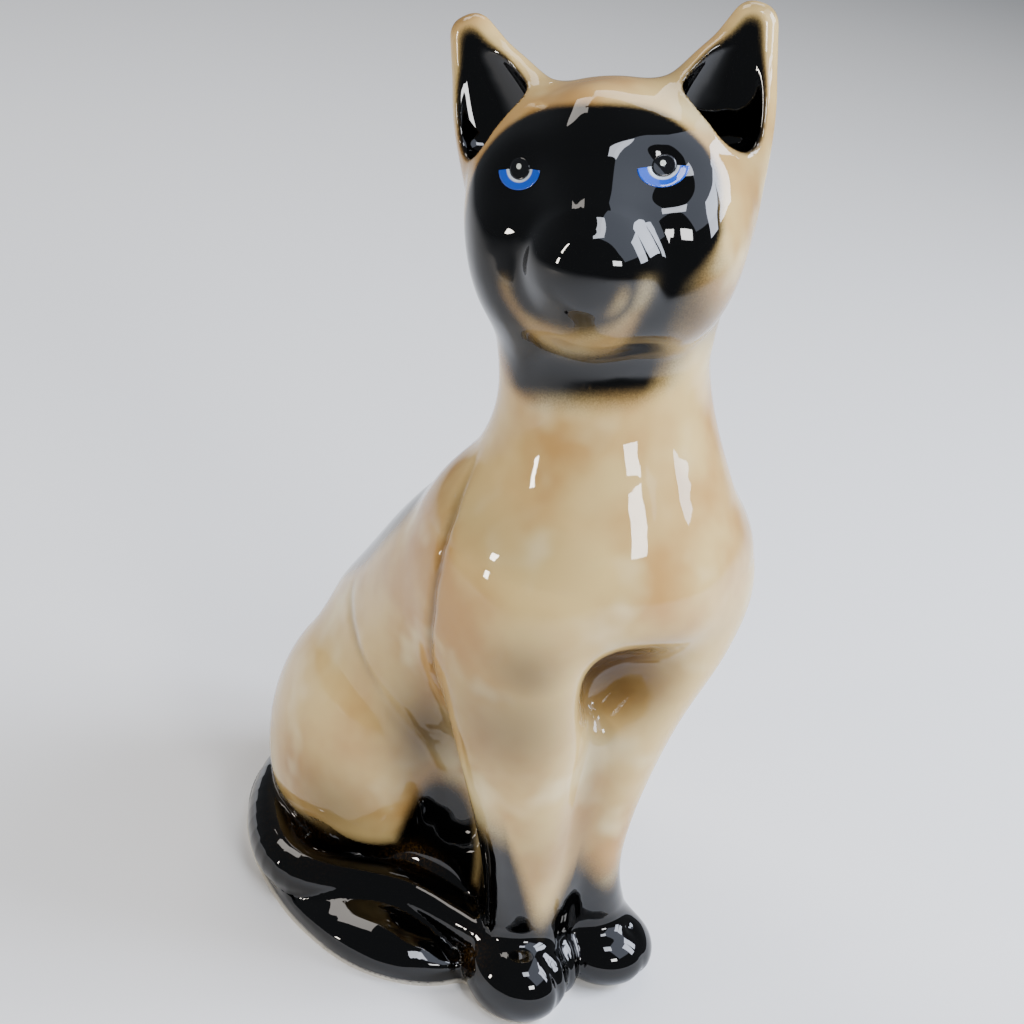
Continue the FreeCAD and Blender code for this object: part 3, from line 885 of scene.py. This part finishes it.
def glazed_clay():
    """Cream, brown and black under clear glaze, and bare clay at the foot."""
    mat = material("glazed_clay")
    place = add(mat, "ShaderNodeTexCoord").outputs["Object"]
    sprayed = {}
    for name in ("ink", "shade", "bare", "gold"):
        sprayed[name] = add(mat, "ShaderNodeAttribute", [("attribute_name", name)]).outputs["Fac"]
    noise = {}
    for name, (size, detail) in PATTERNS.items():
        noise[name] = add(mat, "ShaderNodeTexNoise", [("Scale", 1 / (size * MM)), ("Detail", detail)],
                          [("Vector", place)]).outputs["Fac"]
    spread = {}
    for name, low, high in (("cloud", 0.35, 0.72), ("patch", 0.52, 0.78), ("speck", 0.45, 0.62)):
        sets = [("interpolation_type", "SMOOTHSTEP"), ("From Min", low), ("From Max", high)]
        spread[name] = add(mat, SPREAD, sets, [("Value", noise[name])]).outputs[0]

    # cream, mottled by the spray, then darkened to brown by painted shade in the hollows and recesses, and by
    # the sprayed brown
    tan = add(mat, COLOUR, [("data_type", "RGBA"), (6, rgb("#dfbf7c")), (7, rgb("#bd8f50"))],
              [(0, spread["cloud"])]).outputs[2]
    tan = add(mat, COLOUR, [("data_type", "RGBA"), (7, rgb("#ecd69e"))],
              [(0, spread["patch"]), (6, tan)]).outputs[2]
    tan = add(mat, COLOUR, [("data_type", "RGBA"), (7, rgb("#3a2614"))],
              [(0, sprayed["shade"]), (6, tan)]).outputs[2]

    # droplets at the edge of the black: 4 ink (1 - ink) picks out the edge
    left = add(mat, MATHS, [("operation", "SUBTRACT"), (0, 1.0)], [(1, sprayed["ink"])]).outputs[0]
    edge = add(mat, MATHS, [("operation", "MULTIPLY")], [(0, sprayed["ink"]), (1, left)]).outputs[0]
    edge = add(mat, MATHS, [("operation", "MULTIPLY"), (1, 4.0)], [(0, edge)]).outputs[0]
    drops = add(mat, MATHS, [("operation", "SUBTRACT"), (1, 0.5)], [(0, noise["droplet"])]).outputs[0]
    drops = add(mat, MATHS, [("operation", "MULTIPLY"), (1, 0.45)], [(0, drops)]).outputs[0]
    drops = add(mat, MATHS, [("operation", "MULTIPLY")], [(0, drops), (1, edge)]).outputs[0]
    ink = add(mat, MATHS, [("operation", "ADD"), ("use_clamp", True)],
              [(0, sprayed["ink"]), (1, drops)]).outputs[0]

    # black, with brown specks where it is thin and tan where it is thinnest
    thin = add(mat, MATHS, [("operation", "MULTIPLY"), ("use_clamp", True)],
               [(0, sprayed["gold"]), (1, spread["speck"])]).outputs[0]
    black = add(mat, COLOUR, [("data_type", "RGBA"), (6, rgb("#020202")), (7, rgb("#4a3210"))],
                [(0, thin)]).outputs[2]
    thinnest = add(mat, MATHS, [("operation", "POWER"), (1, 5.0)], [(0, sprayed["gold"])]).outputs[0]
    black = add(mat, COLOUR, [("data_type", "RGBA"), (7, rgb("#86643a"))],
                [(0, thinnest), (6, black)]).outputs[2]
    colour = add(mat, COLOUR, [("data_type", "RGBA")], [(0, ink), (6, tan), (7, black)]).outputs[2]
    colour = add(mat, COLOUR, [("data_type", "RGBA"), (7, rgb("#d9d2c4"))],
                 [(0, sprayed["bare"]), (6, colour)]).outputs[2]

    glazed = add(mat, MATHS, [("operation", "SUBTRACT"), (0, 1.0)], [(1, sprayed["bare"])]).outputs[0]
    wavy = add(mat, "ShaderNodeBump", [("Strength", 0.35), ("Distance", 0.0004)],
               [("Height", noise["ripple"])]).outputs[0]
    shader = add(mat, "ShaderNodeBsdfPrincipled",
                 [("Roughness", 0.5), ("IOR", 1.5), ("Specular IOR Level", 0.0),
                  ("Coat Roughness", 0.02), ("Coat IOR", 1.5)],
                 [("Base Color", colour), ("Coat Weight", glazed), ("Coat Normal", wavy)])
    add(mat, "ShaderNodeOutputMaterial", links=[("Surface", shader.outputs[0])])
    print("glazed clay:", len(mat.node_tree.nodes), "nodes")
    return mat

# %% [markdown]
# ## Fired enamel
# The marks of the eyes are opaque enamel colours that melted to a smooth skin,
# so they are one plain colour under a clear coat. The blue crescent is paler
# along its inner edge, where the painter's white shows.

# %% Enamels
def enamel_finish(name, code, rough, inner=None):
    """One enamel colour; inner is the colour along a crescent's inner edge."""
    mat = material(name)
    shader = add(mat, "ShaderNodeBsdfPrincipled",
                 [("Base Color", rgb(code)), ("Roughness", rough), ("Specular IOR Level", 0.0),
                  ("Coat Weight", 1.0), ("Coat IOR", 1.5), ("Coat Roughness", 0.03)])
    if inner:
        across = add(mat, "ShaderNodeAttribute", [("attribute_name", "across")]).outputs["Fac"]
        edge = add(mat, SPREAD, [("From Min", 0.20), ("From Max", 0.30)], [("Value", across)]).outputs[0]
        colour = add(mat, COLOUR, [("data_type", "RGBA"), (6, rgb(inner)), (7, rgb(code))],
                     [(0, edge)]).outputs[2]
        mat.node_tree.links.new(colour, shader.inputs["Base Color"])
    add(mat, "ShaderNodeOutputMaterial", links=[("Surface", shader.outputs[0])])
    return mat


CLAY = glazed_clay()
ENAMELS = {"iris": enamel_finish("blue_enamel", "#1a4fc0", 0.3, "#c3cdd8"),
           "pupil": enamel_finish("dark_enamel", "#101113", 0.25),
           "glint": enamel_finish("pale_enamel", "#d8dccf", 0.3)}
for name, obj in PIECES.items():
    obj.data.materials.append(ENAMELS.get(name.split("_")[-1], CLAY))
    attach(obj, "root")
print(len(PIECES), "pieces,", sum(len(obj.data.polygons) for obj in PIECES.values()), "faces")

# %% [markdown]
# ## Stage and light
# A pale floor and soft lamps in place of a room's windows. Black glaze shows
# only what it reflects, so the sky is kept dim, and each lamp is there for one
# highlight or for the colour of one side.

# %% Stage
def pale_floor():
    """A plain sheet, six metres square, at the height of the foot plate."""
    mesh = bpy.data.meshes.new("floor")
    mesh.from_pydata([(-3, -3, 0), (3, -3, 0), (3, 3, 0), (-3, 3, 0)], [], [(0, 1, 2, 3)])
    sheet = bpy.data.objects.new("floor", mesh)
    bpy.context.collection.objects.link(sheet)
    mat = material("pale_floor")
    shader = add(mat, "ShaderNodeBsdfPrincipled", [("Base Color", rgb("#f4f4f4")), ("Roughness", 0.8)])
    add(mat, "ShaderNodeOutputMaterial", links=[("Surface", shader.outputs[0])])
    mesh.materials.append(mat)
    return sheet


floor = pale_floor()

world = bpy.data.worlds.new("room")
bpy.context.scene.world = world
world.use_nodes = True
sky = world.node_tree.nodes["Background"]
sky.inputs[0].default_value = rgb("#dfe6f0")
sky.inputs[1].default_value = 0.22

# %% Lamps
AIM = Vector((0, -0.01, 0.12))


def toward(azimuth, height, distance):
    """A point seen from the cat at an azimuth (0 is ahead of it, 90 on its
    left) and an elevation, in degrees."""
    a, e = math.radians(azimuth), math.radians(height)
    return AIM + distance * Vector((math.sin(a) * math.cos(e), -math.cos(a) * math.cos(e), math.sin(e)))


def lamp(name, at, look, size, power, tint):
    """Rectangular lamp at a point, shining on another."""
    data = bpy.data.lights.new(name, "AREA")
    data.shape = "RECTANGLE"
    data.size, data.size_y = size
    data.energy = power
    data.color = rgb(tint)[:3]
    obj = bpy.data.objects.new(name, data)
    obj.location = at
    obj.rotation_euler = (Vector(look) - Vector(at)).to_track_quat("-Z", "Y").to_euler()
    bpy.context.collection.objects.link(obj)


# name, azimuth, elevation, distance, width and height in metres, watts, tint
LAMPS = [("window_near", 50, 34, 0.9, (0.20, 0.46), 6.0, "#e6eeff"),
         ("window_far", 68, 36, 0.9, (0.20, 0.46), 6.0, "#e6eeff"),
         ("window_low", -2, 26, 0.9, (0.20, 0.14), 3.2, "#ffffff"),
         ("lamp_left", -98, 8, 0.9, (0.06, 0.12), 1.8, "#fff6ea"),
         ("skylight", -10, 60, 0.9, (0.22, 0.16), 2.0, "#eef3ff"),
         ("ceiling_left", -150, 55, 1.2, (0.5, 0.5), 5.0, "#fff8f0"),
         ("window_wide", 40, 50, 1.0, (0.95, 0.7), 5.0, "#dfe9ff")]
for name, azimuth, height, distance, size, power, tint in LAMPS:
    lamp(name, toward(azimuth, height, distance), AIM, size, power, tint)
# one more lamp lights the floor behind the cat
lamp("floor_wash", toward(145, 55, 1.7), toward(145, -5, 1.3), (0.9, 0.9), 10, "#ffffff")
print(len(LAMPS) + 1, "lamps")

# %% [markdown]
# ## Camera
# The camera stands close, in front of the cat's right shoulder and a little
# above its head, looks down on it and is turned about its own axis. Standing
# close makes the paws look large and the head small.

# %% Camera
AZIMUTH, DISTANCE, HEIGHT = math.radians(-35.0), 304.0, 246.0
PITCH, ROLL = math.radians(25.5), math.radians(10.0)
SENSOR, LENS = 36.0, 56.07421875
SHIFT_X, SHIFT_Y = -0.0361328125, -0.005859375

ahead = Vector((-math.sin(AZIMUTH) * math.cos(PITCH), math.cos(AZIMUTH) * math.cos(PITCH), -math.sin(PITCH)))
level_right = Vector((math.cos(AZIMUTH), math.sin(AZIMUTH), 0))
level_up = level_right.cross(ahead)
right = level_right * math.cos(ROLL) + level_up * math.sin(ROLL)
up = -level_right * math.sin(ROLL) + level_up * math.cos(ROLL)
stand = Vector((DISTANCE * math.sin(AZIMUTH), -DISTANCE * math.cos(AZIMUTH), HEIGHT)) * MM

camera_data = bpy.data.cameras.new("camera")
camera_data.sensor_width = SENSOR
camera_data.lens = LENS
camera_data.shift_x = SHIFT_X
camera_data.shift_y = SHIFT_Y
camera_data.clip_start = 0.01
camera = bpy.data.objects.new("camera", camera_data)
camera.matrix_world = Matrix.Translation(stand) @ Matrix((right, up, -ahead)).transposed().to_4x4()
bpy.context.collection.objects.link(camera)
bpy.context.scene.camera = camera
print("camera at", [round(c, 3) for c in stand])
